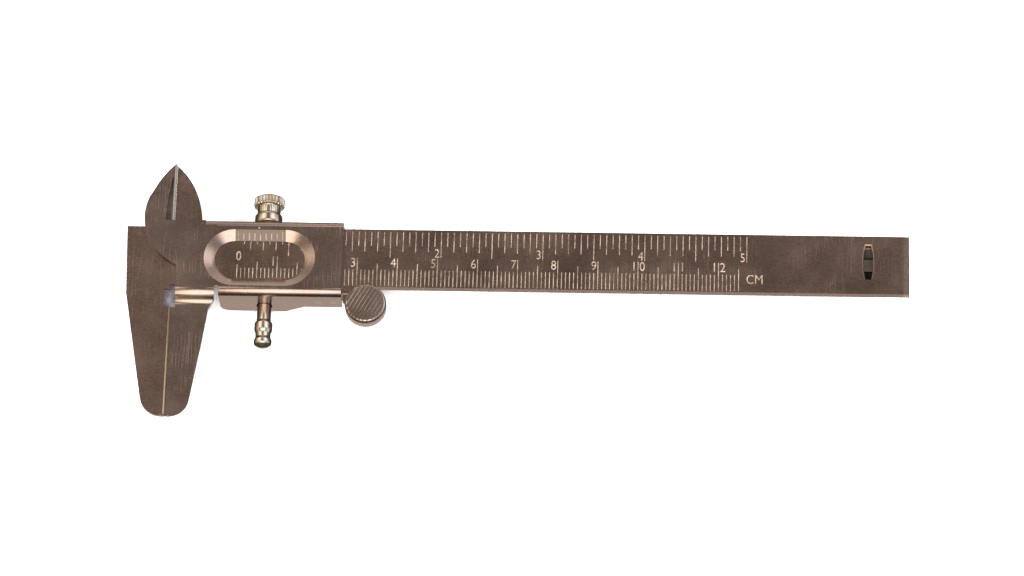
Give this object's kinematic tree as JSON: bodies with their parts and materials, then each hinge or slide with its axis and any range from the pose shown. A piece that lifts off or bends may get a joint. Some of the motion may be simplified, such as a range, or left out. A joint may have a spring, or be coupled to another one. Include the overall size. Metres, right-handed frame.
{
  "type": "vernier caliper",
  "caption": "Pocket vernier caliper: engraved steel beam, folded sheet slider with window, sprung brake spindle, knurled head, thumb disc and depth rod.",
  "frame": {"origin": "middle of the bounding box at its lowest point, with the caliper on its back and the jaws closed", "axes": "+X along the beam to its free end, +Y towards the inside blades, +Z out of the graduated face"},
  "size_m": [0.1954, 0.0676, 0.0131],
  "materials": {
    "beam_steel": "worn nickel plate, fine grain",
    "slider_sheet": "worn nickel plate, bright on the folds",
    "turned_steel": "bright turned and plated",
    "disc_steel": "cross cut face, bright rim",
    "inner_steel": "plain sawn and filed steel",
    "inner_brass": "plain brass",
    "spring_steel": "oiled spring wire",
    "rod_steel": "drawn strip"
  },
  "bodies": {
    "beam": {"beam": "beam_steel"},
    "slider": {"slider_shell": "slider_sheet", "slider_back_plate": "slider_sheet", "back_plate_rivets": "turned_steel", "guide_block_front": "inner_steel", "guide_block_rear": "inner_steel", "gib_spring": "inner_brass", "depth_rod": "rod_steel", "depth_rod_pin": "turned_steel", "spindle_bush_lower": "inner_brass", "spindle_bush_upper": "inner_brass", "spring_seat": "inner_steel", "lock_spring": "spring_steel", "thumb_arm": "slider_sheet", "thumb_arm_rivets": "turned_steel", "thumb_disc": "disc_steel", "thumb_disc_rivet": "turned_steel"},
    "spindle": {"lock_spindle": "turned_steel", "brake_shoe": "inner_steel", "brake_shoe_pin": "turned_steel"},
    "collar": {"knob_collar": "turned_steel"},
    "knob": {"lock_knob": "turned_steel"}
  },
  "joints": [
    {"name": "slider_travel", "type": "slide", "parent": "beam", "child": "slider", "axis": [1, 0, 0], "range_m": [0, 0.127]},
    {"name": "spindle_press", "type": "slide", "parent": "slider", "child": "spindle", "axis": [0, -1, 0], "range_m": [0, 0.00035], "stiffness_N_per_m": 900, "springref_m": -0.002, "deforming": ["lock_spring"]},
    {"name": "collar_advance", "type": "slide", "parent": "spindle", "child": "collar", "axis": [0, -1, 0], "range_m": [0, 0.0009]},
    {"name": "knob_turn", "type": "hinge", "parent": "collar", "child": "knob", "pos_m": [-0.0629, 0.02635, 0.0039], "axis": [0, -1, 0], "range_deg": [0, 720]}
  ],
  "couplings": [
    {"joint": "knob_turn", "follows": "collar_advance", "rad_per_m": 13963}
  ]
}
